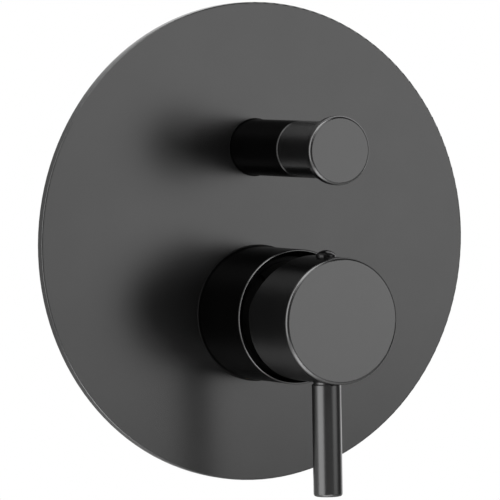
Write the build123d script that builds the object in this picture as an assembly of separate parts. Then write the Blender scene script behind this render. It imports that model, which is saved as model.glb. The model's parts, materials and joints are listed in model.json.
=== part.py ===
from build123d import *
import os
from math import cos, radians, sin, tan

# Concealed bath shower mixer, in millimetres.
# The origin is the centre of the cover plate on the finished wall, which is the plane y = 0.
# The room is on the -Y side and +Z is up. "Out" is the distance from the wall into the room,
# so a point at out = 10 has y = -10 and anything inside the wall has a negative out.

# Fits
fit = 0.05
running_fit = 0.08
working_gap = 0.3
port_clearance = 0.6
overcut = 1.0

# Cover plate
plate_diameter = 170.0
plate_depth = 3.0
plate_wall = 1.5
plate_edge_round = 0.5
gasket_width = 7.0
mixer_seal_width = 0.6
diverter_seal_width = 0.4
seal_recess = 0.3
seal_flange = 2.2
seal_flange_wall = 1.0

# Knob axes, measured from the plate's centre
mixer_drop = 25.4
diverter_rise = 33.5

# Mixer sleeve
sleeve_diameter = 47.4
sleeve_reach = 32.5
sleeve_wall = 1.7
sleeve_tuck = 2.0
sleeve_chamfer = 0.3
mouth_land = 0.5
mouth_depth = 5.1
throat_diameter = 42.2
throat_lip = 1.0

# Handle
handle_diameter = 44.1
handle_length = 27.4
handle_gap = 4.0
handle_wall = 2.4
handle_cavity_depth = 11.3
handle_edge_round = 1.1
handle_back_chamfer = 0.35
tilt_angle = 20.0

# Lever pin below the handle's axis, grub screw and index plug above it, set back from the handle's face
lever_diameter = 10.2
lever_setback = 12.0
lever_drop = 61.5
lever_seat_depth = 3.0
lever_tip_round = 1.0
lever_neck_diameter = 9.0
lever_neck_length = 0.25
lever_top_round = 0.5
spigot_diameter = 6.0
spigot_length = 8.0
plug_setback = 11.0
plug_diameter = 7.0
plug_rise = 2.2
plug_rim = 0.6
plug_depth = 2.4
grub_diameter = 5.8
grub_tip_diameter = 2.6
grub_tip_length = 1.6
grub_key_across = 3.0
grub_key_depth = 3.0

# Cartridge
cartridge_diameter = 34.8
casing_height = 18.9
casing_wall = 1.8
casing_shoulder_wall = 1.6
collar_diameter = 28.8
collar_height = 7.6
nut_height = 5.0
nut_diameter = 38.9
nut_slot_width = 5.0
nut_slot_depth = 2.2
nut_slots = 4
nut_proud = 1.0
nut_seat_depth = 3.5
base_thickness = 4.0
base_port_diameter = 7.0
base_port_offset = 8.5
base_seal_wire = 1.6
fixed_disc_diameter = 29.6
disc_thickness = 3.5
moving_disc_diameter = 22.4
carriage_thickness = 3.8
carriage_seal_diameter = 17.0
carriage_seal_width = 1.4
carriage_seal_depth = 0.9
mixing_pocket_width = 8.0
mixing_pocket_length = 13.0
mixing_pocket_depth = 2.0
turret_diameter = 24.4
turret_flange = 3.0
turret_flange_thickness = 2.0
turret_rise = 4.5
turret_slot_length = 15.0
pivot_rise = 14.1
pivot_pin_diameter = 4.0
pivot_pin_length = 22.0
stem_square = 8.0
stem_edge = 0.8
stem_length = 22.0
stem_square_below = 6.0
stem_shank_diameter = 4.4
stem_ball_diameter = 5.2
stem_ball_drop = 19.0

# Valve body
port_depth = 24.5
arm_diameter = 25.0
inlet_neck = 10.0
outlet_neck = 12.5
inlet_passage_diameter = 12.0
riser_diameter = 8.0
barrel_shoulder = 3.0
mixer_barrel_back = 36.0
diverter_barrel_diameter = 33.0
barrel_edge_round = 2.0
gallery_offset = 18.0
gallery_diameter = 6.8
gallery_wall = 2.6

# Pipe unions screwed into the four ports
union_across_flats = 27.0
union_length = 17.0
union_corner_angle = 30.0
union_face_rim = 0.3
union_thread_diameter = 18.6
union_thread_length = 14.0
union_bore_diameter = 12.0
union_spigot_diameter = 18.0
union_spigot_length = 7.0
socket_land = 1.2

# Fixing bracket across the back of the diverter barrel
bracket_hole_spacing = 66.0
bracket_width = 14.0
bracket_thickness = 3.0
bracket_hole_diameter = 5.5
screw_spacing = 23.5
screw_diameter = 4.0
screw_length = 10.0
screw_head_diameter = 7.6
screw_rim = 0.3
screw_key_across = 2.5
screw_key_depth = 1.5

# Diverter
diverter_sleeve_diameter = 19.9
diverter_sleeve_wall = 1.15
diverter_sleeve_reach = 37.0
knob_gap = 0.3
knob_length = 26.8
knob_head_diameter = 23.9
knob_head_thickness = 3.3
knob_head_round = 1.0
knob_head_back_round = 0.4
knob_neck_round = 0.9
knob_chamfer = 0.3
knob_socket_depth = 14.0
diverter_travel = 10.0
headwork_seat = 6.0
headwork_hex_across = 24.0
headwork_hex_height = 6.0
headwork_nose_length = 13.0
headwork_thread_diameter = 22.0
headwork_thread_length = 3.0
headwork_skirt_diameter = 19.2
headwork_window_length = 7.0
headwork_window_diameter = 4.4
headwork_windows = 6
headwork_end_length = 2.0
headwork_skirt_wall = 1.4
spindle_diameter = 8.0
spindle_tail_diameter = 6.0
o_ring_wire = 1.8
o_ring_spacing = 4.0
headwork_ring_wire = 1.5
piston_diameter = 19.0
piston_hub_diameter = 13.4
piston_flange = 3.2
piston_seal_thickness = 1.6
piston_nut_across = 10.0
piston_nut_height = 5.0
spring_diameter = 11.4
spring_wire = 1.2
spring_turns = 6
rear_chamber_diameter = 14.0
rear_chamber_depth = 9.0
barrel_end_wall = 4.0

# Heights of the two axes
mixer_z = -mixer_drop
diverter_z = diverter_rise

# Radii used by several pieces
sleeve_r = sleeve_diameter / 2
handle_r = handle_diameter / 2
diverter_sleeve_r = diverter_sleeve_diameter / 2
plate_back = plate_depth - plate_wall
neck_r = sleeve_r - sleeve_wall - fit
nut_r = nut_diameter / 2
casing_r = cartridge_diameter / 2
casing_bore_r = casing_r - casing_wall
turret_r = turret_diameter / 2
collar_r = collar_diameter / 2
spindle_r = spindle_diameter / 2
mixer_barrel_r = neck_r + barrel_shoulder
diverter_barrel_r = diverter_barrel_diameter / 2

# Stations along the mixer axis, as out from the wall
throat_out = sleeve_reach - mouth_depth
neck_top = throat_out - throat_lip
nut_top = neck_top + nut_proud
shoulder_out = nut_top - nut_height
cartridge_floor = shoulder_out - casing_height
pivot_out = shoulder_out + pivot_rise
handle_back = sleeve_reach + handle_gap
handle_face = handle_back + handle_length
lever_out = handle_face - lever_setback
plug_out = handle_face - plug_setback
half_tilt = tilt_angle / 2
base_top = cartridge_floor + base_thickness
fixed_disc_top = base_top + disc_thickness
moving_disc_back = fixed_disc_top + fit
carriage_back = moving_disc_back + disc_thickness
carriage_top = carriage_back + carriage_thickness
disc_offset = stem_ball_drop * sin(radians(half_tilt))
turret_top = pivot_out + turret_rise

# Stations along the diverter axis
hex_front = headwork_hex_height - headwork_seat
nose_front = hex_front + headwork_nose_length
knob_back = diverter_sleeve_reach + knob_gap
knob_face = knob_back + knob_length
spindle_front = knob_back + knob_socket_depth
thread_back = -headwork_seat - headwork_thread_length
window_back = thread_back - headwork_window_length
front_seat = window_back - headwork_end_length
piston_stack = piston_flange + 2 * piston_seal_thickness
rear_seat = front_seat - piston_stack - diverter_travel - 2 * working_gap
piston_back = rear_seat + working_gap
piston_front = piston_back + piston_stack
rear_chamber_back = rear_seat - rear_chamber_depth
barrel_back = rear_chamber_back - barrel_end_wall
gallery_out = (thread_back + window_back) / 2
mixed_out = (front_seat + rear_seat) / 2
riser_out = (rear_seat + rear_chamber_back) / 2

# Faces of the casting that the unions screw against, and the floors of their sockets
inlet_seat = mixer_barrel_r + inlet_neck
shower_seat = diverter_z + diverter_barrel_r + outlet_neck
bath_seat = mixer_z - mixer_barrel_r - outlet_neck
socket_depth = union_spigot_length + fit
riser_top = shower_seat - socket_depth - socket_land - riser_diameter / 2
gallery_low = bath_seat + socket_depth + socket_land + gallery_diameter / 2


def turned(points, height, rounds=()):
    """Solid turned about the line along Y at a height; points and rounds are in (radius, out)."""
    section = make_face(Polyline(*[(radius, -out) for radius, out in points], close=True))
    for (radius, out), size in rounds:
        corner = section.vertices().sort_by_distance((radius, -out, 0))[0]
        section = fillet(corner, size)
    return Pos(0, 0, height) * revolve(section, Axis.Y)


def rod(radius, inner, outer, height, x=0.0):
    """Round bar along Y, from out = inner to out = outer."""
    return Pos(x, -(inner + outer) / 2, height) * Rot(90, 0, 0) * Cylinder(radius, outer - inner)


def crosswise(radius, left, right, out, height):
    """Round bar along X."""
    return Pos((left + right) / 2, -out, height) * Rot(0, 90, 0) * Cylinder(radius, right - left)


def upright(radius, low, high, out, x=0.0):
    """Round bar along Z."""
    return Pos(x, -out, (low + high) / 2) * Cylinder(radius, high - low)


def hexagon(across, inner, outer, height):
    """Hexagonal bar along Y with two flats level."""
    section = RegularPolygon(across / 2, 6, major_radius=False)
    return Pos(0, -inner, height) * Rot(90, 0, 0) * extrude(section, outer - inner)


def ring(wire, mean_radius, out, height):
    """Round-wire ring about the line along Y."""
    return Pos(0, -out, height) * Rot(90, 0, 0) * Torus(mean_radius, wire / 2)


def cover_plate():
    radius = plate_diameter / 2
    dish = turned(
        [(0, plate_depth), (radius, plate_depth), (radius, 0), (radius - plate_wall, 0),
         (radius - plate_wall, plate_back), (0, plate_back)],
        0,
        [((radius, plate_depth), plate_edge_round)],
    )
    mixer_hole_r = sleeve_r + mixer_seal_width
    diverter_hole_r = diverter_sleeve_r + diverter_seal_width
    dish -= rod(mixer_hole_r, plate_back - overcut, plate_depth + overcut, mixer_z)
    return dish - rod(diverter_hole_r, plate_back - overcut, plate_depth + overcut, diverter_z)


def plate_gasket():
    outer = plate_diameter / 2 - plate_wall - fit
    inner = outer - gasket_width
    return turned([(inner, 0), (outer, 0), (outer, plate_back), (inner, plate_back)], 0)


def hole_seal(tube_radius, width, height):
    """Rubber grommet in a plate hole, with its flange behind the plate."""
    inner = tube_radius + fit
    outer = tube_radius + width - fit
    flange_back = plate_back - seal_flange_wall
    return turned(
        [(inner, flange_back), (outer + seal_flange, flange_back), (outer + seal_flange, plate_back),
         (outer, plate_back), (outer, plate_depth - seal_recess), (inner, plate_depth - seal_recess)],
        height,
    )


def mixer_sleeve():
    inner = sleeve_r - sleeve_wall
    throat = throat_diameter / 2
    return turned(
        [(inner, -sleeve_tuck), (sleeve_r, -sleeve_tuck), (sleeve_r, sleeve_reach - sleeve_chamfer),
         (sleeve_r - sleeve_chamfer, sleeve_reach), (sleeve_r - mouth_land, sleeve_reach),
         (throat, throat_out), (throat, neck_top), (inner, neck_top)],
        mixer_z,
    )


def diverter_sleeve():
    inner = diverter_sleeve_r - diverter_sleeve_wall
    return turned(
        [(inner, hex_front), (diverter_sleeve_r, hex_front),
         (diverter_sleeve_r, diverter_sleeve_reach - knob_chamfer),
         (diverter_sleeve_r - knob_chamfer, diverter_sleeve_reach), (inner, diverter_sleeve_reach)],
        diverter_z,
    )


def on_stem(solid):
    """Place a solid modelled about a pivot at the origin, stem along +Z, at the closed position."""
    return Pos(0, -pivot_out, mixer_z) * Rot(90 + half_tilt, 0, 0) * solid


def mixer_handle():
    cavity_r = handle_r - handle_wall
    cavity_top = handle_back + handle_cavity_depth
    shell = turned(
        [(0, handle_face), (handle_r, handle_face), (handle_r, handle_back + handle_back_chamfer),
         (handle_r - handle_back_chamfer, handle_back), (cavity_r, handle_back),
         (cavity_r, cavity_top), (0, cavity_top)],
        mixer_z,
        [((handle_r, handle_face), handle_edge_round)],
    )
    socket_side = stem_square + 2 * fit
    socket = on_stem(Pos(0, 0, stem_length / 2) * Box(socket_side, socket_side, stem_length + 2 * fit))
    crest = mixer_z + handle_r
    foot = mixer_z - handle_r
    lever_seat = upright(lever_neck_diameter / 2 + fit, foot - overcut, foot + lever_seat_depth, lever_out)
    tapped_end = foot + lever_seat_depth + spigot_length + fit
    tapped = upright(spigot_diameter / 2 + fit, foot, tapped_end, lever_out)
    grub_hole = upright(grub_diameter / 2 + fit, mixer_z, crest, plug_out)
    plug_seat = upright(plug_diameter / 2 + fit, crest - plug_depth, crest + overcut, plug_out)
    return shell - socket - lever_seat - tapped - grub_hole - plug_seat


def lever_pin():
    radius = lever_diameter / 2
    neck = lever_neck_diameter / 2
    spigot = spigot_diameter / 2
    tip = -lever_drop
    top = -handle_r - lever_neck_length
    shoulder = -handle_r + lever_seat_depth
    outline = Polyline(
        (0, tip), (radius, tip), (radius, top), (neck, top), (neck, shoulder), (spigot, shoulder),
        (spigot, shoulder + spigot_length), (0, shoulder + spigot_length), close=True,
    )
    section = make_face(Plane.XZ * outline)
    section = fillet(section.vertices().sort_by_distance((radius, 0, tip))[0], lever_tip_round)
    section = fillet(section.vertices().sort_by_distance((radius, 0, top))[0], lever_top_round)
    return Pos(0, -lever_out, mixer_z) * revolve(section, Axis.Z)


def grub_foot():
    """Height above the mixer axis where the grub screw's tip meets the leaning stem."""
    lean = radians(half_tilt)
    stem_line = -(plug_out - pivot_out) * tan(lean)
    face = stem_line + stem_square / 2 / cos(lean)
    return face + grub_tip_diameter / 2 * tan(lean) + fit


def handle_grub_screw():
    low = grub_foot()
    high = handle_r - plug_depth
    radius = grub_diameter / 2
    outline = Polyline(
        (0, low), (grub_tip_diameter / 2, low), (radius, low + grub_tip_length),
        (radius, high), (0, high), close=True,
    )
    screw = revolve(make_face(Plane.XZ * outline), Axis.Z)
    key = Pos(0, 0, high - grub_key_depth) * extrude(
        RegularPolygon(grub_key_across / 2, 6, major_radius=False), grub_key_depth
    )
    return Pos(0, -plug_out, mixer_z) * (screw - key)


def index_plug():
    radius = plug_diameter / 2
    low = handle_r - plug_depth
    rim = handle_r + plug_rim
    top = handle_r + plug_rise
    dome = TangentArc((0, top), (radius, rim), tangent=(1, 0))
    outline = Polyline((0, top), (0, low), (radius, low), (radius, rim)) + dome
    section = make_face(Plane.XZ * outline)
    return Pos(0, -plug_out, mixer_z) * revolve(section, Axis.Z)


def cartridge_nut():
    inner = collar_r + fit
    nut = turned([(inner, shoulder_out), (nut_r, shoulder_out), (nut_r, nut_top), (inner, nut_top)], mixer_z)
    for index in range(nut_slots):
        turn = 360 / nut_slots * (index + 0.5)
        slot = Pos(nut_r, -nut_top, 0) * Box(nut_r, 2 * nut_slot_depth, nut_slot_width)
        nut -= Pos(0, 0, mixer_z) * Rot(0, turn, 0) * slot
    return nut


def cartridge_casing():
    shoulder_inside = shoulder_out - casing_shoulder_wall
    collar_top = shoulder_out + collar_height
    collar_bore = turret_r + running_fit
    return turned(
        [(casing_bore_r, cartridge_floor), (casing_r, cartridge_floor), (casing_r, shoulder_out),
         (collar_r, shoulder_out), (collar_r, collar_top), (collar_bore, collar_top),
         (collar_bore, shoulder_inside), (casing_bore_r, shoulder_inside)],
        mixer_z,
    )


def base_ports():
    """Centres of the hot, cold and mixed ports in the cartridge floor, as (x, height above the axis)."""
    return [(-base_port_offset, 0), (base_port_offset, 0), (0, base_port_offset)]


def cartridge_base():
    base = rod(casing_bore_r - fit, cartridge_floor, base_top, mixer_z)
    groove = base_port_diameter / 2 + base_seal_wire
    for x, rise in base_ports():
        base -= rod(base_port_diameter / 2, cartridge_floor, base_top, mixer_z + rise, x)
        base -= rod(groove, cartridge_floor, cartridge_floor + base_seal_wire, mixer_z + rise, x)
    return base


def base_seals():
    """Three square-section rings that seal the base to the floor of the body."""
    inner = base_port_diameter / 2
    outer = inner + base_seal_wire - fit
    seals = []
    for x, rise in base_ports():
        seal = rod(outer, cartridge_floor, cartridge_floor + base_seal_wire, mixer_z + rise, x)
        seals.append(seal - rod(inner, cartridge_floor, cartridge_floor + base_seal_wire, mixer_z + rise, x))
    return Compound(children=seals)


def fixed_disc():
    disc = rod(fixed_disc_diameter / 2, base_top, fixed_disc_top, mixer_z)
    for x, rise in base_ports():
        disc -= rod(base_port_diameter / 2, base_top, fixed_disc_top, mixer_z + rise, x)
    return disc


def moving_disc():
    height = mixer_z + disc_offset
    disc = rod(moving_disc_diameter / 2, moving_disc_back, carriage_back, height)
    pocket = extrude(SlotOverall(mixing_pocket_length, mixing_pocket_width, rotation=90), mixing_pocket_depth)
    return disc - Pos(0, -moving_disc_back, height) * Rot(90, 0, 0) * pocket


def disc_carriage():
    height = mixer_z + disc_offset
    carriage = rod(moving_disc_diameter / 2, carriage_back, carriage_top, height)
    socket = rod(stem_ball_diameter / 2 + 2 * fit, carriage_back, carriage_top, height)
    groove_r = carriage_seal_diameter / 2
    groove = rod(groove_r, carriage_back, carriage_back + carriage_seal_depth, height)
    groove -= rod(groove_r - carriage_seal_width, carriage_back, carriage_back + carriage_seal_depth, height)
    return carriage - socket - groove


def carriage_seal():
    outer = carriage_seal_diameter / 2 - fit
    inner = outer - carriage_seal_width + 2 * fit
    top = carriage_back + carriage_seal_depth
    return turned(
        [(inner, carriage_back), (outer, carriage_back), (outer, top), (inner, top)], mixer_z + disc_offset
    )


def cartridge_turret():
    flange_r = turret_r + turret_flange
    flange_top = shoulder_out - casing_shoulder_wall - running_fit
    flange_back = flange_top - turret_flange_thickness
    turret = turned(
        [(0, flange_back), (flange_r, flange_back), (flange_r, flange_top), (turret_r, flange_top),
         (turret_r, turret_top), (0, turret_top)],
        mixer_z,
    )
    depth = turret_top - flange_back
    slot = Pos(0, -(turret_top + flange_back) / 2, mixer_z) * Box(
        stem_square + 2 * working_gap, depth, turret_slot_length
    )
    pin_hole = crosswise(pivot_pin_diameter / 2 + fit, -turret_r, turret_r, pivot_out, mixer_z)
    return turret - slot - pin_hole


def stem_pivot_pin():
    half = pivot_pin_length / 2
    return crosswise(pivot_pin_diameter / 2, -half, half, pivot_out, mixer_z)


def cartridge_stem():
    square_height = stem_length + stem_square_below
    head = Pos(0, 0, (stem_length - stem_square_below) / 2) * Box(stem_square, stem_square, square_height)
    head = chamfer(head.edges().filter_by(Axis.Z), stem_edge)
    shank = Pos(0, 0, -(stem_square_below + stem_ball_drop) / 2) * Cylinder(
        stem_shank_diameter / 2, stem_ball_drop - stem_square_below
    )
    ball = Pos(0, 0, -stem_ball_drop) * Sphere(stem_ball_diameter / 2)
    pin_hole = Rot(0, 90, 0) * Cylinder(pivot_pin_diameter / 2 + running_fit, 2 * stem_square)
    return on_stem(head + shank + ball - pin_hole)


def union_places():
    """Mouth centre and turn of each pipe union, for a union modelled with its mouth facing +Z."""
    return {
        "hot_inlet": Pos(-inlet_seat - union_length, port_depth, mixer_z) * Rot(0, -90, 0),
        "cold_inlet": Pos(inlet_seat + union_length, port_depth, mixer_z) * Rot(0, 90, 0),
        "shower_outlet": Pos(0, port_depth, shower_seat + union_length),
        "bath_outlet": Pos(0, port_depth, bath_seat - union_length) * Rot(180, 0, 0),
    }


def pipe_union(port):
    """Hexagonal union with turned corners, a threaded mouth and a spigot that screws into the casting."""
    flat_r = union_across_flats / 2
    rim_r = flat_r - union_face_rim
    corner_r = flat_r / cos(radians(30)) + overcut
    slope = (corner_r - rim_r) * tan(radians(union_corner_angle))
    bar = Pos(0, 0, -union_length) * extrude(RegularPolygon(flat_r, 6, major_radius=False), union_length)
    corners = Polyline(
        (0, 0), (rim_r, 0), (corner_r, -slope), (corner_r, slope - union_length),
        (rim_r, -union_length), (0, -union_length), close=True,
    )
    union = bar & revolve(make_face(Plane.XZ * corners), Axis.Z)
    full_length = union_length + union_spigot_length
    union += Pos(0, 0, -union_length) * Cylinder(
        union_spigot_diameter / 2, union_spigot_length, align=(Align.CENTER, Align.CENTER, Align.MAX)
    )
    union -= Pos(0, 0, -full_length / 2) * Cylinder(union_bore_diameter / 2, full_length)
    union -= Pos(0, 0, -union_thread_length / 2) * Cylinder(union_thread_diameter / 2, union_thread_length)
    return union_places()[port] * union


def body_casting():
    """Outside of the brass casting, with the neck for the cartridge and the barrel for the diverter."""
    barrel_front = -sleeve_tuck - working_gap
    mixer_barrel = turned(
        [(0, -mixer_barrel_back), (mixer_barrel_r, -mixer_barrel_back), (mixer_barrel_r, barrel_front),
         (neck_r, barrel_front), (neck_r, neck_top), (0, neck_top)],
        mixer_z,
        [((mixer_barrel_r, -mixer_barrel_back), barrel_edge_round),
         ((mixer_barrel_r, barrel_front), barrel_edge_round)],
    )
    diverter_barrel = turned(
        [(0, barrel_back), (diverter_barrel_r, barrel_back), (diverter_barrel_r, -headwork_seat),
         (0, -headwork_seat)],
        diverter_z,
        [((diverter_barrel_r, barrel_back), barrel_edge_round)],
    )
    arm_r = arm_diameter / 2
    casting = mixer_barrel + diverter_barrel
    casting += upright(arm_r, bath_seat, shower_seat, -port_depth)
    casting += crosswise(arm_r, -inlet_seat, inlet_seat, -port_depth, mixer_z)
    gallery_r = gallery_diameter / 2 + gallery_wall
    casting += upright(gallery_r, gallery_low, diverter_z, gallery_out, gallery_offset)
    casting += crosswise(gallery_r, 0, gallery_offset, gallery_out, gallery_low)
    casting += crosswise(gallery_r, 0, gallery_offset, gallery_out, diverter_z)
    casting += Pos(gallery_offset, -gallery_out, gallery_low) * Sphere(gallery_r)
    casting += Pos(gallery_offset, -gallery_out, diverter_z) * Sphere(gallery_r)
    riser_r = riser_diameter / 2 + gallery_wall
    casting += upright(riser_r, diverter_z, riser_top, riser_out)
    casting += rod(riser_r, riser_out, -port_depth, riser_top)
    casting += Pos(0, -riser_out, riser_top) * Sphere(riser_r)
    return casting


def valve_body():
    body = body_casting()

    # Sockets for the spigots of the unions
    for place in union_places().values():
        body -= place * Pos(0, 0, -union_length) * Cylinder(
            union_spigot_diameter / 2 + fit, socket_depth, align=(Align.CENTER, Align.CENTER, Align.MAX)
        )

    # Passage and floor port of each supply
    inlet_end = base_port_offset - base_port_diameter / 2 + port_clearance
    inlet_r = inlet_passage_diameter / 2
    for side in (-1, 1):
        ends = sorted((side * inlet_end, side * inlet_seat))
        body -= crosswise(inlet_r, ends[0], ends[1], -port_depth, mixer_z)
        body -= rod(base_port_diameter / 2, -port_depth, cartridge_floor, mixer_z, side * base_port_offset)

    # Mixed water runs from the cartridge floor up to the middle of the diverter chamber
    mixed_z = mixer_z + base_port_offset
    body -= rod(base_port_diameter / 2, mixed_out, cartridge_floor, mixed_z)
    body -= upright(base_port_diameter / 2, mixed_z, diverter_z, mixed_out)

    # Cartridge bore and the wider thread of its ring nut
    body -= rod(casing_r + fit, cartridge_floor, neck_top, mixer_z)
    body -= rod(nut_r + fit, shoulder_out - nut_seat_depth, neck_top, mixer_z)

    # Diverter chamber in two steps, with the shower seat between them
    body -= rod(headwork_thread_diameter / 2 + fit, rear_seat, -headwork_seat, diverter_z)
    body -= rod(rear_chamber_diameter / 2, rear_chamber_back, rear_seat, diverter_z)
    riser_r = riser_diameter / 2
    body -= upright(riser_r, diverter_z, riser_top, riser_out)
    body -= rod(riser_r, riser_out, -port_depth, riser_top)
    body -= upright(riser_r, riser_top, shower_seat, -port_depth)

    # Bath gallery down the side of the casting to the lower port
    gallery_r = gallery_diameter / 2
    body -= crosswise(gallery_r, 0, gallery_offset, gallery_out, diverter_z)
    body -= upright(gallery_r, gallery_low, diverter_z, gallery_out, gallery_offset)
    body -= crosswise(gallery_r, 0, gallery_offset, gallery_out, gallery_low)
    body -= rod(gallery_r, -port_depth, gallery_out, gallery_low)
    body -= upright(gallery_r, bath_seat, gallery_low, -port_depth)

    # Tapped holes for the screws of the fixing bracket
    for side in (-1, 1):
        tapped_end = barrel_back - bracket_thickness + screw_length + fit
        body -= rod(screw_diameter / 2 + fit, barrel_back, tapped_end, diverter_z, side * screw_spacing / 2)
    return body


def countersunk(clearance):
    """Countersunk screw along +Z with its head's face at the origin, grown all round by a clearance."""
    head_r = screw_head_diameter / 2 + clearance
    shank_r = screw_diameter / 2 + clearance
    cone_end = -screw_rim - (head_r - shank_r)
    outline = Polyline(
        (0, 0), (head_r, 0), (head_r, -screw_rim), (shank_r, cone_end), (shank_r, -screw_length),
        (0, -screw_length), close=True,
    )
    return revolve(make_face(Plane.XZ * outline), Axis.Z)


def screw_places():
    """Head of each bracket screw, facing into the wall."""
    face = -barrel_back + bracket_thickness
    return [Pos(side * screw_spacing / 2, face, diverter_z) * Rot(-90, 0, 0) for side in (-1, 1)]


def fixing_bracket():
    strap = SlotOverall(bracket_hole_spacing + bracket_width, bracket_width)
    for side in (-1, 1):
        strap -= Pos(side * bracket_hole_spacing / 2, 0) * Circle(bracket_hole_diameter / 2)
    bracket = Pos(0, -barrel_back, diverter_z) * Rot(-90, 0, 0) * extrude(strap, bracket_thickness)
    for place in screw_places():
        bracket -= place * countersunk(fit)
    return bracket


def bracket_screws():
    key = RegularPolygon(screw_key_across / 2, 6, major_radius=False)
    screw = countersunk(0) - extrude(key, -screw_key_depth)
    return Compound(children=[place * screw for place in screw_places()])


def ring_stations():
    """Middle of each spindle O-ring, from the front of the headwork's nose back."""
    first = nose_front - o_ring_spacing
    return [first, first - o_ring_spacing]


def diverter_headwork():
    thread_r = headwork_thread_diameter / 2
    skirt_r = headwork_skirt_diameter / 2
    nose_r = diverter_sleeve_r - diverter_sleeve_wall - fit
    bore_r = spindle_r + running_fit
    skirt_bore = skirt_r - headwork_skirt_wall
    work = turned(
        [(bore_r, nose_front), (nose_r, nose_front), (nose_r, -headwork_seat), (thread_r, -headwork_seat),
         (thread_r, thread_back), (skirt_r, thread_back), (skirt_r, window_back), (thread_r, window_back),
         (thread_r, front_seat), (skirt_bore, front_seat), (skirt_bore, thread_back), (bore_r, thread_back)],
        diverter_z,
    )
    hexed = hexagon(headwork_hex_across, -headwork_seat, hex_front, diverter_z)
    work += hexed - rod(nose_r - fit, -headwork_seat, hex_front, diverter_z)
    groove_width = headwork_ring_wire + 2 * fit
    groove_back = -headwork_seat - groove_width
    groove = rod(thread_r + overcut, groove_back, -headwork_seat, diverter_z)
    work -= groove - rod(thread_r - headwork_ring_wire - fit, groove_back, -headwork_seat, diverter_z)
    for station in ring_stations():
        half = o_ring_wire / 2 + fit
        work -= rod(bore_r + o_ring_wire + fit, station - half, station + half, diverter_z)
    for index in range(headwork_windows):
        window = upright(headwork_window_diameter / 2, 0, thread_r, gallery_out)
        work -= Pos(0, 0, diverter_z) * Rot(0, 360 / headwork_windows * index, 0) * window
    return work


def headwork_o_ring():
    wire_r = headwork_ring_wire / 2
    mean = headwork_thread_diameter / 2 - wire_r
    return ring(headwork_ring_wire, mean, -headwork_seat - wire_r - fit, diverter_z)


def spindle_o_rings():
    mean = spindle_r + running_fit + o_ring_wire / 2
    return Compound(children=[ring(o_ring_wire, mean, station, diverter_z) for station in ring_stations()])


def diverter_spindle():
    tail_r = spindle_tail_diameter / 2
    tail_end = piston_back - piston_nut_height
    return turned(
        [(0, tail_end), (tail_r, tail_end), (tail_r, piston_front), (spindle_r, piston_front),
         (spindle_r, spindle_front), (0, spindle_front)],
        diverter_z,
    )


def diverter_knob():
    head_r = knob_head_diameter / 2
    neck = diverter_sleeve_r
    head_back = knob_face - knob_head_thickness
    socket = spindle_r + fit
    socket_end = spindle_front + fit
    return turned(
        [(socket, knob_back), (neck - knob_chamfer, knob_back), (neck, knob_back + knob_chamfer),
         (neck, head_back), (head_r, head_back), (head_r, knob_face), (0, knob_face),
         (0, socket_end), (socket, socket_end)],
        diverter_z,
        [((head_r, knob_face), knob_head_round), ((head_r, head_back), knob_head_back_round),
         ((neck, head_back), knob_neck_round)],
    )


def diverter_piston():
    bore = spindle_tail_diameter / 2 + fit
    hub = piston_hub_diameter / 2
    outer = piston_diameter / 2
    flange_back = piston_back + piston_seal_thickness
    flange_front = flange_back + piston_flange
    return turned(
        [(bore, piston_back), (hub, piston_back), (hub, flange_back), (outer, flange_back),
         (outer, flange_front), (hub, flange_front), (hub, piston_front), (bore, piston_front)],
        diverter_z,
    )


def piston_seals():
    inner = piston_hub_diameter / 2 + fit
    outer = piston_diameter / 2
    seals = []
    for back in (piston_back, piston_front - piston_seal_thickness):
        front = back + piston_seal_thickness
        seals.append(turned([(inner, back), (outer, back), (outer, front), (inner, front)], diverter_z))
    return Compound(children=seals)


def piston_nut():
    nut = hexagon(piston_nut_across, piston_back - piston_nut_height, piston_back, diverter_z)
    return nut - rod(
        spindle_tail_diameter / 2 + fit, piston_back - piston_nut_height, piston_back, diverter_z
    )


def return_spring():
    wire_r = spring_wire / 2
    mean = spring_diameter / 2 - wire_r
    length = thread_back - piston_front - spring_wire - 2 * fit
    path = Helix(length / spring_turns, length, mean)
    section = Plane(path @ 0, z_dir=path % 0) * Circle(wire_r)
    coil = sweep(section, path)
    return Pos(0, -(piston_front + wire_r + fit), diverter_z) * Rot(90, 0, 0) * coil


pieces = {
    "cover_plate": cover_plate(),
    "plate_gasket": plate_gasket(),
    "mixer_seal": hole_seal(sleeve_r, mixer_seal_width, mixer_z),
    "diverter_seal": hole_seal(diverter_sleeve_r, diverter_seal_width, diverter_z),
    "mixer_sleeve": mixer_sleeve(),
    "diverter_sleeve": diverter_sleeve(),
    "mixer_handle": mixer_handle(),
    "lever_pin": lever_pin(),
    "handle_grub_screw": handle_grub_screw(),
    "index_plug": index_plug(),
    "cartridge_nut": cartridge_nut(),
    "cartridge_casing": cartridge_casing(),
    "cartridge_base": cartridge_base(),
    "base_seals": base_seals(),
    "fixed_disc": fixed_disc(),
    "moving_disc": moving_disc(),
    "disc_carriage": disc_carriage(),
    "carriage_seal": carriage_seal(),
    "cartridge_turret": cartridge_turret(),
    "stem_pivot_pin": stem_pivot_pin(),
    "cartridge_stem": cartridge_stem(),
    "valve_body": valve_body(),
    "hot_inlet_union": pipe_union("hot_inlet"),
    "cold_inlet_union": pipe_union("cold_inlet"),
    "shower_outlet_union": pipe_union("shower_outlet"),
    "bath_outlet_union": pipe_union("bath_outlet"),
    "fixing_bracket": fixing_bracket(),
    "bracket_screws": bracket_screws(),
    "diverter_headwork": diverter_headwork(),
    "headwork_o_ring": headwork_o_ring(),
    "spindle_o_rings": spindle_o_rings(),
    "diverter_spindle": diverter_spindle(),
    "diverter_knob": diverter_knob(),
    "diverter_piston": diverter_piston(),
    "piston_seals": piston_seals(),
    "piston_nut": piston_nut(),
    "return_spring": return_spring(),
}

os.makedirs("parts", exist_ok=True)
for name, solid in pieces.items():
    export_step(solid, f"parts/{name}.step")
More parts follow.
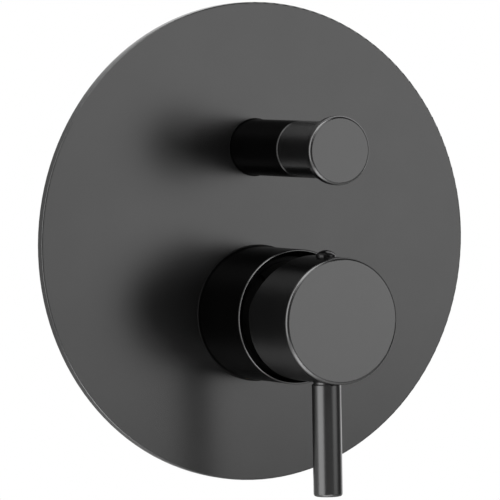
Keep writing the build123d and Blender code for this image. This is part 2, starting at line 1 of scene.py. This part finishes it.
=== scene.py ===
import json
import math

import bmesh
import bpy
from mathutils import Matrix, Vector


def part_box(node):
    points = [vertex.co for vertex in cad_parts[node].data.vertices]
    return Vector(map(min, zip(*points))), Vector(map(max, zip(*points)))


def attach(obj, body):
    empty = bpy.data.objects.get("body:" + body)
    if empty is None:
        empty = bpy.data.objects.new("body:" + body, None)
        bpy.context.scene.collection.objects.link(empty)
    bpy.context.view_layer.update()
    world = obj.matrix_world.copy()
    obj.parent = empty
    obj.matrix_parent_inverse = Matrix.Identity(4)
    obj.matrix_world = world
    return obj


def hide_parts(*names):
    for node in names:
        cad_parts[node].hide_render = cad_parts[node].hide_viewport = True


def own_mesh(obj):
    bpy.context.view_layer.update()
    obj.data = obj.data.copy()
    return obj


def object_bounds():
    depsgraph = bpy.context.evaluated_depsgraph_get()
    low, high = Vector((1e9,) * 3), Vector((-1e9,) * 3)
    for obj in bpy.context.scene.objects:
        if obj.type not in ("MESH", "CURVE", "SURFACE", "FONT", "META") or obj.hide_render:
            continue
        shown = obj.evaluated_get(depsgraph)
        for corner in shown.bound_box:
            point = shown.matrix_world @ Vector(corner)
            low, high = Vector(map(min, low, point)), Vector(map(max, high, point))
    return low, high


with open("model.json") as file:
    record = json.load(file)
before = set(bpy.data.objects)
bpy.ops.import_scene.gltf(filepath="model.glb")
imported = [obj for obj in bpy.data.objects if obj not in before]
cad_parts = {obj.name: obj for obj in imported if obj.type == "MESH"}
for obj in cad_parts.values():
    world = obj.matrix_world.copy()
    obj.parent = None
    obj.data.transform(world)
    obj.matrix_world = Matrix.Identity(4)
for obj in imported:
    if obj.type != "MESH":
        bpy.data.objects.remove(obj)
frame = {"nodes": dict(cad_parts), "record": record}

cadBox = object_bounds()
print("stage: frame loaded,", len(frame["nodes"]), "nodes")


class Sock:
    # wraps one output socket; plain arithmetic on it adds Math nodes
    def __init__(self, tree, socket):
        self.tree = tree
        self.socket = socket

    def node(self, kind, settings=None, inputs=None, out=0):
        made = self.tree.nodes.new(kind)
        for key, value in (settings or {}).items():
            setattr(made, key, value)
        for key, value in (inputs or {}).items():
            if isinstance(value, Sock):
                self.tree.links.new(value.socket, made.inputs[key])
            else:
                made.inputs[key].default_value = value
        return Sock(self.tree, made.outputs[out])

    def math(self, operation, first, second=0.0):
        return self.node("ShaderNodeMath", {"operation": operation}, {0: first, 1: second})

    def axis(self, index):
        return self.node("ShaderNodeSeparateXYZ", None, {0: self}, index)

    def __add__(self, other):
        return self.math("ADD", self, other)

    __radd__ = __add__

    def __sub__(self, other):
        return self.math("SUBTRACT", self, other)

    def __rsub__(self, other):
        return self.math("SUBTRACT", other, self)

    def __mul__(self, other):
        return self.math("MULTIPLY", self, other)

    __rmul__ = __mul__

    def __truediv__(self, other):
        return self.math("DIVIDE", self, other)

    def __rtruediv__(self, other):
        return self.math("DIVIDE", other, self)


def startFinish(name, constants):
    finish = bpy.data.materials.new(name)
    finish.use_nodes = True
    tree = finish.node_tree
    shader = tree.nodes["Principled BSDF"]
    for key, value in constants.items():
        shader.inputs[key].default_value = value
    place = Sock(tree, tree.nodes.new("ShaderNodeTexCoord").outputs["Object"])
    return finish, place, shader


def feed(shader, links):
    for key, value in links.items():
        value.tree.links.new(value.socket, shader.inputs[key])


def grain(place, scale, detail=3.0, rough=0.55):
    # noise in object space, scale in features per metre
    return place.node("ShaderNodeTexNoise", None, {
        "Vector": place, "Scale": scale, "Detail": detail, "Roughness": rough,
    })


def spread(value, low, high):
    # noise stretched to the range low..high
    return value * (high - low) + low


def mixColour(factor, first, second):
    # 6 and 7 are the colour inputs of a Mix node, and 2 is its colour output
    return factor.node("ShaderNodeMix", {"data_type": "RGBA"}, {"Factor": factor, 6: first, 7: second}, 2)


def tone(value, dark, light):
    return mixColour(value, (*dark, 1.0), (*light, 1.0))


def bumpOf(height, strength, distance):
    return height.node("ShaderNodeBump", None, {"Height": height, "Strength": strength, "Distance": distance})


def dress(finish, *names):
    for name in names:
        for slot in frame["nodes"][name].material_slots:
            slot.material = finish


# satin black coat: the plate, the lever, the knob, the handle and the two sleeves; the sleeves get a far
# darker copy of it as painted shade
plateCoat = {"dark": 0.128, "light": 0.152, "roughLow": 0.25, "roughHigh": 0.28, "edgeTint": 1.0}
leverCoat = {"dark": 0.140, "light": 0.164, "roughLow": 0.26, "roughHigh": 0.30, "edgeTint": 1.0}
knobCoat = {"dark": 0.148, "light": 0.168, "roughLow": 0.20, "roughHigh": 0.24, "edgeTint": 0.9}
handleCoat = {"dark": 0.154, "light": 0.176, "roughLow": 0.20, "roughHigh": 0.24, "edgeTint": 0.4}
# painted shade: the sleeves are painted far darker than the same coat on the handle and knob
sleeveShadeCoat = {
    "dark": 0.034, "light": 0.046, "roughLow": 0.24, "roughHigh": 0.28, "edgeTint": 0.4,
    # painted highlight: the rim values brighten the sleeves' front rims
    "rimHighlight": {"mixer_sleeve": 5.0, "diverter_sleeve": 2.4}, "rimHighlightFrom": 0.00014, "rimHighlightTo": 0.00004,
}
coatGrain = {
    "mottleScale": 55.0, "mottleShare": 0.7, "peelScale": 2600.0, "peelDetail": 2.0,
    "peelDepth": 0.000008, "peelStrength": 0.15,
}


def blackCoatFinish(name, settings, sleeve=None):
    edge = settings["edgeTint"]
    finish, place, shader = startFinish(name, {"Metallic": 1.0, "Specular Tint": (edge, edge, edge, 1.0)})
    mottle = grain(place, coatGrain["mottleScale"])
    peel = grain(place, coatGrain["peelScale"], coatGrain["peelDetail"])
    share = coatGrain["mottleShare"]
    shade = tone(mottle * share + peel * (1 - share), (settings["dark"],) * 3, (settings["light"],) * 3)
    if sleeve:
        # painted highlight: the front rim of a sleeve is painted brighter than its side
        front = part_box(sleeve)[0][1]
        depth = place.axis(1)
        rim = depth.node("ShaderNodeMapRange", None, {
            "Value": depth, "From Min": front + settings["rimHighlightFrom"], "From Max": front + settings["rimHighlightTo"],
            "To Min": 1.0, "To Max": settings["rimHighlight"][sleeve],
        })
        shade = shade.node("ShaderNodeVectorMath", {"operation": "SCALE"}, {0: shade, "Scale": rim})
    feed(shader, {
        "Base Color": shade,
        "Roughness": spread(mottle * 0.5 + peel * 0.5, settings["roughLow"], settings["roughHigh"]),
        "Normal": bumpOf(peel, coatGrain["peelStrength"], coatGrain["peelDepth"]),
    })
    return finish


dress(blackCoatFinish("plateCoat", plateCoat), "cover_plate")
dress(blackCoatFinish("leverCoat", leverCoat), "lever_pin")
dress(blackCoatFinish("knobCoat", knobCoat), "diverter_knob")
handleBlack = blackCoatFinish("handleCoat", handleCoat)
dress(handleBlack, "mixer_handle")
for sleeveName in sleeveShadeCoat["rimHighlight"]:
    dress(blackCoatFinish(sleeveName + "Coat", sleeveShadeCoat, sleeveName), sleeveName)
print("stage: black coat done")


# rubber of the plate seals and O-rings
sealRubber = {
    "dark": (0.006, 0.006, 0.006), "light": (0.014, 0.014, 0.014), "dustScale": 900.0,
    "roughLow": 0.6, "roughHigh": 0.8, "bumpStrength": 0.2, "bumpDepth": 0.00005,
}


def sealRubberFinish(settings):
    finish, place, shader = startFinish("sealRubber", {"IOR": 1.5})
    dust = grain(place, settings["dustScale"])
    feed(shader, {
        "Base Color": tone(dust, settings["dark"], settings["light"]),
        "Roughness": spread(dust, settings["roughLow"], settings["roughHigh"]),
        "Normal": bumpOf(dust, settings["bumpStrength"], settings["bumpDepth"]),
    })
    return finish


dress(
    sealRubberFinish(sealRubber), "mixer_seal", "diverter_seal", "base_seals", "carriage_seal",
    "headwork_o_ring", "spindle_o_rings", "piston_seals",
)


# closed cell foam of the plate gasket
gasketFoam = {
    "dark": (0.018, 0.018, 0.019), "light": (0.06, 0.06, 0.062), "cellScale": 1400.0,
    "bumpStrength": 0.6, "bumpDepth": 0.0002,
}


def gasketFoamFinish(settings):
    finish, place, shader = startFinish("gasketFoam", {"Roughness": 0.9})
    cells = place.node("ShaderNodeTexVoronoi", {"feature": "F1"}, {
        "Vector": place, "Scale": settings["cellScale"],
    })
    feed(shader, {
        "Base Color": tone(cells, settings["dark"], settings["light"]),
        "Normal": bumpOf(cells, settings["bumpStrength"], settings["bumpDepth"]),
    })
    return finish


dress(gasketFoamFinish(gasketFoam), "plate_gasket")


# glossy black index plug
indexGloss = {
    "dark": (0.003, 0.003, 0.003), "light": (0.006, 0.006, 0.006), "hazeScale": 500.0,
    "roughLow": 0.04, "roughHigh": 0.08,
}


def indexGlossFinish(settings):
    finish, place, shader = startFinish("indexGloss", {"IOR": 1.5})
    haze = grain(place, settings["hazeScale"])
    feed(shader, {
        "Base Color": tone(haze, settings["dark"], settings["light"]),
        "Roughness": spread(haze, settings["roughLow"], settings["roughHigh"]),
    })
    return finish


dress(indexGlossFinish(indexGloss), "index_plug")
print("stage: rubber, foam and plug done")


# raw cast brass of the valve body; the neck that shows behind the handle is painted black as painted shade
# for the gap there
castBrass = {
    "dark": (0.40, 0.26, 0.10), "light": (0.66, 0.47, 0.21), "sandScale": 1500.0, "stainScale": 45.0,
    "detail": 4.0, "sandRough": 0.65, "stainShare": 0.65, "bumpStrength": 0.5, "bumpDepth": 0.0001,
    "roughLow": 0.34, "roughHigh": 0.62, "roughStain": 0.4,
    "neckShade": (0.02, 0.02, 0.02), "neckShadeFrom": -0.008, "neckShadeTo": -0.014, "neckShadeRagged": 0.002,
}


def castBrassFinish(settings):
    finish, place, shader = startFinish("castBrass", {"Metallic": 1.0})
    sand = grain(place, settings["sandScale"], settings["detail"], settings["sandRough"])
    stain = grain(place, settings["stainScale"], settings["detail"])
    depth = place.axis(1)
    # painted shade: black over the brass towards the front, where the neck shows in the gap behind the handle
    neckShaded = depth.node("ShaderNodeMapRange", None, {
        "Value": depth + sand * settings["neckShadeRagged"],
        "From Min": settings["neckShadeFrom"], "From Max": settings["neckShadeTo"],
    })
    share = settings["stainShare"]
    raw = tone(stain * share + sand * (1 - share), settings["dark"], settings["light"])
    worn = stain * settings["roughStain"] + sand * (1 - settings["roughStain"])
    feed(shader, {
        "Base Color": mixColour(neckShaded, raw, (*settings["neckShade"], 1.0)),
        "Roughness": spread(worn, settings["roughLow"], settings["roughHigh"]),
        "Normal": bumpOf(sand, settings["bumpStrength"], settings["bumpDepth"]),
    })
    return finish


dress(castBrassFinish(castBrass), "valve_body")


# turned and rolled metals, with fine tool lines across the axis named in lineStretch
turnedBrass = {"dark": (0.62, 0.43, 0.18), "light": (0.80, 0.60, 0.29), "roughLow": 0.2, "roughHigh": 0.34}
# painted shade: the cartridge nut is painted near black to stand for the shade in the gap behind the handle
nutShadeBlack = {
    "dark": (0.014, 0.014, 0.014), "light": (0.026, 0.025, 0.024), "roughLow": 0.35, "roughHigh": 0.5,
}
brightSteel = {"dark": (0.50, 0.50, 0.49), "light": (0.64, 0.64, 0.63), "roughLow": 0.18, "roughHigh": 0.32}
rolledSteel = {**brightSteel, "roughLow": 0.24, "roughHigh": 0.38}
toolLines = {
    "lineScale": 60.0, "lineDetail": 2.0, "stainScale": 90.0, "bumpStrength": 0.12, "bumpDepth": 0.00002,
}
lineStretch = {
    "across": (80.0, 1.0, 1.0), "depth": (1.0, 80.0, 1.0),
    "upright": (1.0, 1.0, 80.0), "rolled": (1.0, 1.0, 60.0),
}


def turnedMetalFinish(name, settings, stretch):
    finish, place, shader = startFinish(name, {"Metallic": 1.0})
    tool = place.node("ShaderNodeMapping", None, {"Vector": place, "Scale": lineStretch[stretch]})
    lines = grain(tool, toolLines["lineScale"], toolLines["lineDetail"])
    stain = grain(place, toolLines["stainScale"])
    feed(shader, {
        "Base Color": tone(stain * 0.5 + lines * 0.5, settings["dark"], settings["light"]),
        "Roughness": spread(lines, settings["roughLow"], settings["roughHigh"]),
        "Normal": bumpOf(lines, toolLines["bumpStrength"], toolLines["bumpDepth"]),
    })
    return finish


dress(
    turnedMetalFinish("turnedBrassDepth", turnedBrass, "depth"),
    "diverter_headwork", "diverter_spindle", "piston_nut",
)
# painted shade on the cartridge nut, which shows through the gap
dress(turnedMetalFinish("paintedShadeNut", nutShadeBlack, "depth"), "cartridge_nut")
acrossBrass = turnedMetalFinish("turnedBrassAcross", turnedBrass, "across")
uprightBrass = turnedMetalFinish("turnedBrassUpright", turnedBrass, "upright")
dress(acrossBrass, "hot_inlet_union", "cold_inlet_union")
dress(uprightBrass, "shower_outlet_union", "bath_outlet_union")
turnedSteel = turnedMetalFinish("turnedSteel", brightSteel, "depth")
dress(turnedSteel, "cartridge_stem", "stem_pivot_pin", "handle_grub_screw", "return_spring", "bracket_screws")
dress(turnedMetalFinish("rolledSteel", rolledSteel, "rolled"), "fixing_bracket")
print("stage: metals done")


# moulded plastics of the cartridge and piston, and the lapped ceramic discs
mouldedWhite = {"dark": (0.66, 0.65, 0.62), "light": (0.76, 0.75, 0.72), "roughLow": 0.42, "roughHigh": 0.55}
mouldedGrey = {"dark": (0.16, 0.17, 0.19), "light": (0.24, 0.25, 0.27), "roughLow": 0.4, "roughHigh": 0.55}
lappedCeramic = {"dark": (0.80, 0.79, 0.76), "light": (0.88, 0.87, 0.84), "roughLow": 0.22, "roughHigh": 0.3}
mouldGrain = {
    "flowScale": 130.0, "flowShare": 0.6, "fineScale": 2400.0, "bumpStrength": 0.15, "bumpDepth": 0.00003,
}


def mouldedFinish(name, settings):
    finish, place, shader = startFinish(name, {"IOR": 1.52})
    flow = grain(place, mouldGrain["flowScale"])
    fine = grain(place, mouldGrain["fineScale"])
    share = mouldGrain["flowShare"]
    feed(shader, {
        "Base Color": tone(flow * share + fine * (1 - share), settings["dark"], settings["light"]),
        "Roughness": spread(fine, settings["roughLow"], settings["roughHigh"]),
        "Normal": bumpOf(fine, mouldGrain["bumpStrength"], mouldGrain["bumpDepth"]),
    })
    return finish


dress(mouldedFinish("mouldedWhite", mouldedWhite), "cartridge_casing", "diverter_piston")
dress(mouldedFinish("mouldedGrey", mouldedGrey), "cartridge_base", "disc_carriage", "cartridge_turret")
dress(mouldedFinish("lappedCeramic", lappedCeramic), "fixed_disc", "moving_disc")
print("stage: plastics and ceramic done")


def addObject(name, data):
    made = bpy.data.objects.new(name, data)
    bpy.context.collection.objects.link(made)
    return made


def startTree(name, sizes, result, source=None):
    # a Geometry Nodes tree with one named input for each size, and one for the material
    tree = bpy.data.node_groups.new(name, "GeometryNodeTree")
    if source:
        tree.interface.new_socket(source, in_out="INPUT", socket_type="NodeSocketGeometry")
    for label, value in sizes.items():
        kind = "NodeSocketInt" if isinstance(value, int) else "NodeSocketFloat"
        tree.interface.new_socket(label, in_out="INPUT", socket_type=kind)
    tree.interface.new_socket("Finish", in_out="INPUT", socket_type="NodeSocketMaterial")
    tree.interface.new_socket(result, in_out="OUTPUT", socket_type="NodeSocketGeometry")
    return tree, {one.name: Sock(tree, one) for one in tree.nodes.new("NodeGroupInput").outputs}


def smooth(shape):
    return shape.node("GeometryNodeSetShadeSmooth", None, {"Geometry": shape, "Shade Smooth": True})


def endTree(tree, shape, finish):
    shape = shape.node("GeometryNodeRealizeInstances", None, {"Geometry": shape})
    shape = shape.node("GeometryNodeSetMaterial", None, {"Geometry": shape, "Material": finish})
    tree.links.new(shape.socket, tree.nodes.new("NodeGroupOutput").inputs[0])


def bakeNodes(holder, tree, values):
    maker = holder.modifiers.new(tree.name, "NODES")
    maker.node_group = tree
    for item in tree.interface.items_tree:
        if item.in_out == "INPUT" and item.name in values:
            maker[item.identifier] = values[item.name]
    baked = bpy.data.meshes.new_from_object(holder.evaluated_get(bpy.context.evaluated_depsgraph_get()))
    bpy.data.objects.remove(holder)
    return baked


# half inch pipe thread cut into the mouth of each union
pipeThread = {
    "Minor Radius": 0.0093, "Groove Depth": 0.00116, "Pitch": 0.001814, "Length": 0.014,
    "Run Out": 0.0015, "Flank From": 0.14, "Flank To": 0.86, "Weld": 0.000001, "Around": 72, "Along": 104,
}
unionShell = {
    "radiusSlack": 0.00005, "lengthSlack": 0.0002, "sideways": 0.1, "mouthReach": 0.02, "crease": 32.0,
}
unionFacing = {
    "hot_inlet_union": (-1, 0, 0), "cold_inlet_union": (1, 0, 0),
    "shower_outlet_union": (0, 0, 1), "bath_outlet_union": (0, 0, -1),
}


def threadTree(sizes):
    # one unrolled sheet is bent into a grooved bore, and a copy is set in each mouth
    tree, given = startTree("threadedMouths", sizes, "Threads", "Mouths")
    start = given["Mouths"]
    sheet = start.node("GeometryNodeMeshGrid", None, {
        "Size X": 1.0, "Size Y": 1.0, "Vertices X": given["Around"] + 1, "Vertices Y": given["Along"] + 1,
    })
    spot = start.node("GeometryNodeInputPosition")
    turns = spot.axis(0) + 0.5
    depth = (spot.axis(1) + 0.5) * given["Length"]
    phase = spot.math("FRACT", depth / given["Pitch"] + turns)
    wave = 1.0 - spot.math("ABSOLUTE", phase * 2.0 - 1.0)
    groove = wave.node("ShaderNodeMapRange", None, {
        "Value": wave, "From Min": given["Flank From"], "From Max": given["Flank To"],
    })
    edge = spot.math("MINIMUM", depth, given["Length"] - depth) / given["Run Out"]
    radius = given["Minor Radius"] + given["Groove Depth"] * groove * spot.math("MINIMUM", edge, 1.0)
    angle = turns * (2 * math.pi)
    bent = spot.node("ShaderNodeCombineXYZ", None, {
        0: radius * spot.math("COSINE", angle), 1: radius * spot.math("SINE", angle), 2: depth * -1.0,
    })
    bore = sheet.node("GeometryNodeSetPosition", None, {"Geometry": sheet, "Position": bent})
    bore = bore.node("GeometryNodeMergeByDistance", None, {"Geometry": bore, "Distance": given["Weld"]})
    facing = start.node("GeometryNodeInputNamedAttribute", {"data_type": "FLOAT_VECTOR"}, {"Name": "facing"})
    turn = facing.node("FunctionNodeAlignRotationToVector", {"axis": "Z"}, {"Vector": facing})
    placed = start.node("GeometryNodeInstanceOnPoints", None, {
        "Points": start, "Instance": smooth(bore), "Rotation": turn,
    })
    endTree(tree, placed, given["Finish"])
    return tree


def bakeThreads(mouths, finish):
    seed = bpy.data.meshes.new("unionMouths")
    seed.from_pydata([spot for spot, way in mouths], [], [])
    facing = seed.attributes.new("facing", "FLOAT_VECTOR", "POINT")
    for item, (spot, way) in zip(facing.data, mouths):
        item.vector = way
    return bakeNodes(addObject("unionMouths", seed), threadTree(pipeThread), {**pipeThread, "Finish": finish})


def isPlainBore(face, mouth, axis):
    # a face of the smooth bore that the thread takes the place of
    offsets = [corner.co - mouth for corner in face.verts]
    around = [(offset - axis * offset.dot(axis)).length for offset in offsets]
    deepest = min(offset.dot(axis) for offset in offsets)
    return (
        max(abs(radius - pipeThread["Minor Radius"]) for radius in around) < unionShell["radiusSlack"]
        and abs(face.normal.dot(axis)) < unionShell["sideways"]
        and deepest > -pipeThread["Length"] - unionShell["lengthSlack"]
    )


def makeThreadedUnions(settings):
    mouths = []
    whole = bmesh.new()
    for name, way in unionFacing.items():
        axis = Vector(way)
        low, high = (Vector(corner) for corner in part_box(name))
        middle = (low + high) / 2
        reach = max(low.dot(axis), high.dot(axis))
        mouth = middle + axis * (reach - middle.dot(axis))
        mouths.append((mouth, axis))
        node = frame["nodes"][name]
        shell = node.data.copy()
        shell.transform(node.matrix_world)
        start = len(whole.faces)
        whole.from_mesh(shell)
        whole.faces.ensure_lookup_table()
        for face in whole.faces[start:]:
            face.material_index = 0 if axis.x else 1
        plain = [face for face in whole.faces[start:] if isPlainBore(face, mouth, axis)]
        bmesh.ops.delete(whole, geom=plain, context="FACES_ONLY")
        bpy.data.meshes.remove(shell)
    start = len(whole.faces)
    whole.from_mesh(bakeThreads(mouths, acrossBrass))
    whole.faces.ensure_lookup_table()
    inletHeight = mouths[0][0].z
    for face in whole.faces[start:]:
        aside = abs(face.calc_center_median().z - inletHeight) < settings["mouthReach"]
        face.material_index = 0 if aside else 1
    mesh = bpy.data.meshes.new("threadedUnions")
    whole.to_mesh(mesh)
    whole.free()
    mesh.materials.append(acrossBrass)
    mesh.materials.append(uprightBrass)
    mesh.set_sharp_from_angle(angle=math.radians(settings["crease"]))
    unions = addObject("threadedUnions", mesh)
    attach(unions, "wall_set")
    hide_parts(*unionFacing)
    print("stage: union threads done,", len(mesh.polygons), "faces")


makeThreadedUnions(unionShell)


# coil spring that sends the diverter knob back; it is made at its free length
coilSpring = {"Wire Radius": 0.0006, "Turns": 6.0, "Steps": 48, "Sides": 16}
springCrease = 60.0  # degrees, keeps the cut ends of the wire sharp


def springTree(sizes):
    tree, given = startTree("coilSpring", sizes, "Spring")
    start = given["Turns"]
    coil = start.node("GeometryNodeCurveSpiral", None, {
        "Resolution": given["Steps"], "Rotations": given["Turns"], "Start Radius": given["Coil Radius"],
        "End Radius": given["Coil Radius"], "Height": given["Length"],
    })
    wire = start.node("GeometryNodeCurvePrimitiveCircle", None, {
        "Resolution": given["Sides"], "Radius": given["Wire Radius"],
    })
    wound = coil.node("GeometryNodeCurveToMesh", None, {
        "Curve": coil, "Profile Curve": wire, "Fill Caps": True,
    })
    endTree(tree, smooth(wound), given["Finish"])
    return tree


def makeCoilSpring(settings):
    low, high = (Vector(corner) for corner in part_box("return_spring"))
    wire = settings["Wire Radius"]
    free = high.y - low.y
    sizes = {**settings, "Coil Radius": (high.x - low.x) / 2 - wire, "Length": free - 2 * wire}
    holder = addObject("springSeed", bpy.data.meshes.new("springSeed"))
    mesh = bakeNodes(holder, springTree(sizes), {**sizes, "Finish": turnedSteel})
    mesh.name = "coilSpring"
    seat = Vector(((low.x + high.x) / 2, low.y, (low.z + high.z) / 2))
    lie = Matrix.Rotation(-math.pi / 2, 4, "X")  # wound along Z, laid along Y
    mesh.transform(Matrix.Translation(seat + Vector((0.0, wire, 0.0))) @ lie)
    mesh.set_sharp_from_angle(angle=math.radians(springCrease))
    spring = addObject("coilSpring", mesh)
    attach(spring, "wall_set")
    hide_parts("return_spring")
    joints = frame["record"]["behaviour"]["joints"]
    pull = next(joint for joint in joints if joint["name"] == "diverter_pull")
    keep = 1 - pull["range_m"][1] / free
    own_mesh(spring)
    print("stage: coil spring done,", len(mesh.polygons), "faces")


makeCoilSpring(coilSpring)


# the upper back of the handle is cut at the angle the lever lifts to, so that it clears the sleeve
handleRelief = {"aboveAxis": 0.004, "angle": 20.0, "weld": 0.000001}


def makeRelievedHandle(settings):
    node = frame["nodes"]["mixer_handle"]
    low, high = (Vector(corner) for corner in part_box("mixer_handle"))
    angle = math.radians(settings["angle"])
    weld = settings["weld"]
    hinge = Vector((0.0, high.y, (low.z + high.z) / 2 + settings["aboveAxis"]))
    away = Vector((0.0, math.cos(angle), math.sin(angle)))
    solid = node.data.copy()
    solid.transform(node.matrix_world)
    # the round edges keep the normals they were turned with
    kept = solid.attributes.new("turnedNormal", "FLOAT_VECTOR", "CORNER")
    for item, corner in zip(kept.data, solid.corner_normals):
        item.vector = corner.vector
    body = bmesh.new()
    body.from_mesh(solid)
    bmesh.ops.remove_doubles(body, verts=body.verts, dist=weld)
    bmesh.ops.bisect_plane(
        body, geom=body.verts[:] + body.edges[:] + body.faces[:],
        plane_co=hinge, plane_no=away, clear_outer=True, dist=weld,
    )
    whole = set(body.faces)
    rim = [edge for edge in body.edges if edge.is_boundary]
    bmesh.ops.triangle_fill(body, edges=rim, normal=away)
    layer = body.loops.layers.float_vector["turnedNormal"]
    cut = [face for face in body.faces if face not in whole]
    for face in cut:
        for corner in face.loops:
            corner[layer] = away
    cutFaces = len(cut)
    mesh = bpy.data.meshes.new("relievedHandle")
    body.to_mesh(mesh)
    body.free()
    bpy.data.meshes.remove(solid)
    mesh.materials.clear()
    mesh.materials.append(handleBlack)
    normals = [Vector(item.vector).normalized() for item in mesh.attributes["turnedNormal"].data]
    mesh.normals_split_custom_set(normals)
    mesh.attributes.remove(mesh.attributes["turnedNormal"])
    handle = addObject("relievedHandle", mesh)
    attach(handle, "handle")
    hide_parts("mixer_handle")
    print("stage: handle relief done,", cutFaces, "faces on the cut")


makeRelievedHandle(handleRelief)


def wayTo(azimuth, elevation):
    # unit vector from the object to a place in the room, 0 azimuth straight in front of the plate
    turn = math.radians(azimuth)
    lift = math.radians(elevation)
    return Vector((math.sin(turn) * math.cos(lift), -math.cos(turn) * math.cos(lift), math.sin(lift)))


# camera: same place, direction, roll and lens as the photograph
shot = {
    "azimuth": -28.67, "elevation": 2.92, "roll": -0.97, "distance": 1.7765,
    "focalPixels": 5000.0, "framePixels": 500.0, "platePixel": (256.4, 241.4),
    "sensor": 36.0, "clipStart": 0.01,
}


def placeCamera(settings):
    front = Vector((0.0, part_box("cover_plate")[0][1], 0.0))
    back = wayTo(settings["azimuth"], settings["elevation"])
    roll = math.radians(settings["roll"])
    right = (-back).cross(Vector((0, 0, 1))).normalized()
    up = back.cross(right)
    rightRolled = right * math.cos(roll) + up * math.sin(roll)
    upRolled = up * math.cos(roll) - right * math.sin(roll)
    # the plate's centre lies a little off the middle of the frame
    perPixel = settings["distance"] / settings["focalPixels"]
    middle = settings["framePixels"] / 2
    plateX, plateY = settings["platePixel"]
    aim = front - rightRolled * (plateX - middle) * perPixel - upRolled * (middle - plateY) * perPixel
    eye = front + back * settings["distance"]
    backAim = (eye - aim).normalized()
    rightAim = upRolled.cross(backAim).normalized()
    upAim = backAim.cross(rightAim)
    lens = bpy.data.cameras.new("shotCamera")
    lens.sensor_width = settings["sensor"]
    lens.lens = settings["focalPixels"] * settings["sensor"] / settings["framePixels"]
    lens.clip_start = settings["clipStart"]
    camera = addObject("shotCamera", lens)
    turn = Matrix((rightAim, upAim, backAim)).transposed().to_4x4()
    camera.matrix_world = Matrix.Translation(eye) @ turn
    bpy.context.scene.camera = camera


placeCamera(shot)
print("stage: camera placed")


# studio: white behind the object, a dim room in front of it, and soft boxes
studio = {
    "diffuseLevel": 0.25, "roomLevel": 0.08, "roomFrom": -0.3, "roomTo": -0.05,
    "behindLeft": 0.35, "behindRight": 1.25, "behindBlend": 0.3,
}
softBoxes = {
    # name: azimuth, elevation, distance, width, height, brightness against white
    "left": (-80.0, 5.0, 1.3, 1.2, 2.0, 1.5),
    "frontRight": (34.0, 4.0, 0.9, 0.57, 0.50, 0.83),
    "overhead": (10.0, 75.0, 1.4, 0.8, 0.6, 0.5),
    "upperLeft": (-44.0, 62.0, 1.2, 1.1, 0.8, 2.4),
    "lowerLeft": (-51.0, -58.0, 0.6, 0.45, 0.35, 1.6),
    "upperFront": (-3.0, 29.0, 1.0, 0.60, 0.34, 1.5),
    "lowerFront": (-7.0, -32.0, 0.9, 0.48, 0.24, 2.2),
}
softBoxTarget = Vector((0.0, -0.03, 0.0))
paleFloor = {
    "below": 0.515, "radius": 1.8, "corners": 96, "dark": (0.80, 0.80, 0.80), "light": (0.84, 0.84, 0.84),
    "mottleScale": 3.0, "roughness": 0.85, "cameraLift": 0.62,
}


def makeWorld(settings):
    world = bpy.data.worlds.new("studioWorld")
    world.use_nodes = True
    tree = world.node_tree
    ground = tree.nodes["Background"]
    way = Sock(tree, tree.nodes.new("ShaderNodeTexCoord").outputs["Generated"])
    facing = way.node("ShaderNodeVectorMath", {"operation": "DOT_PRODUCT"}, {0: way, 1: (0.0, -1.0, 0.0)}, 1)
    behind = way.node("ShaderNodeMapRange", {"interpolation_type": "SMOOTHSTEP"}, {
        "Value": way.axis(0), "From Min": -settings["behindBlend"], "From Max": settings["behindBlend"],
        "To Min": settings["behindLeft"], "To Max": settings["behindRight"],
    })
    mirrored = way.node("ShaderNodeMapRange", {"interpolation_type": "SMOOTHSTEP"}, {
        "Value": facing, "From Min": settings["roomFrom"], "From Max": settings["roomTo"],
        "To Min": behind, "To Max": settings["roomLevel"],
    })
    rays = tree.nodes.new("ShaderNodeLightPath")
    seen = Sock(tree, rays.outputs["Is Camera Ray"])
    glossy = Sock(tree, rays.outputs["Is Glossy Ray"])
    through = Sock(tree, rays.outputs["Is Transmission Ray"])
    direct = seen.math("MAXIMUM", seen, through)
    other = (1.0 - direct) * (1.0 - glossy)
    level = direct + (1.0 - direct) * glossy * mirrored + other * settings["diffuseLevel"]
    ground.inputs["Color"].default_value = (1.0, 1.0, 1.0, 1.0)
    tree.links.new(level.socket, ground.inputs["Strength"])
    bpy.context.scene.world = world


def makeSoftBox(name, values):
    azimuth, elevation, distance, width, height, brightness = values
    back = wayTo(azimuth, elevation)
    lamp = bpy.data.lights.new(name, "AREA")
    lamp.shape = "RECTANGLE"
    lamp.size = width
    lamp.size_y = height
    lamp.energy = brightness * math.pi * width * height
    holder = addObject(name, lamp)
    holder.location = softBoxTarget + back * distance
    holder.rotation_euler = back.to_track_quat("Z", "Y").to_euler()


def makeFloor(settings):
    low = cadBox[0][2] - settings["below"]
    angles = [2 * math.pi * k / settings["corners"] for k in range(settings["corners"])]
    ring = [
        (settings["radius"] * math.cos(angle), settings["radius"] * math.sin(angle), low)
        for angle in angles
    ]
    mesh = bpy.data.meshes.new("studioFloor")
    mesh.from_pydata(ring, [], [list(range(len(ring)))])
    finish, place, shader = startFinish("paleFloor", {
        "Roughness": settings["roughness"], "Emission Strength": 1.0,
    })
    shade = tone(grain(place, settings["mottleScale"]), settings["dark"], settings["light"])
    # the camera sees the floor paler than the object does, with the shadow still on it
    rays = finish.node_tree.nodes.new("ShaderNodeLightPath")
    seen = Sock(finish.node_tree, rays.outputs["Is Camera Ray"])
    lift = tone(seen, (0.0, 0.0, 0.0), (settings["cameraLift"],) * 3)
    feed(shader, {"Base Color": shade, "Emission Color": lift})
    mesh.materials.append(finish)
    addObject("studioFloor", mesh)


makeWorld(studio)
for boxName, boxValues in softBoxes.items():
    makeSoftBox(boxName, boxValues)
makeFloor(paleFloor)
bpy.context.scene.view_settings.view_transform = "Standard"
print("stage: light and floor done")
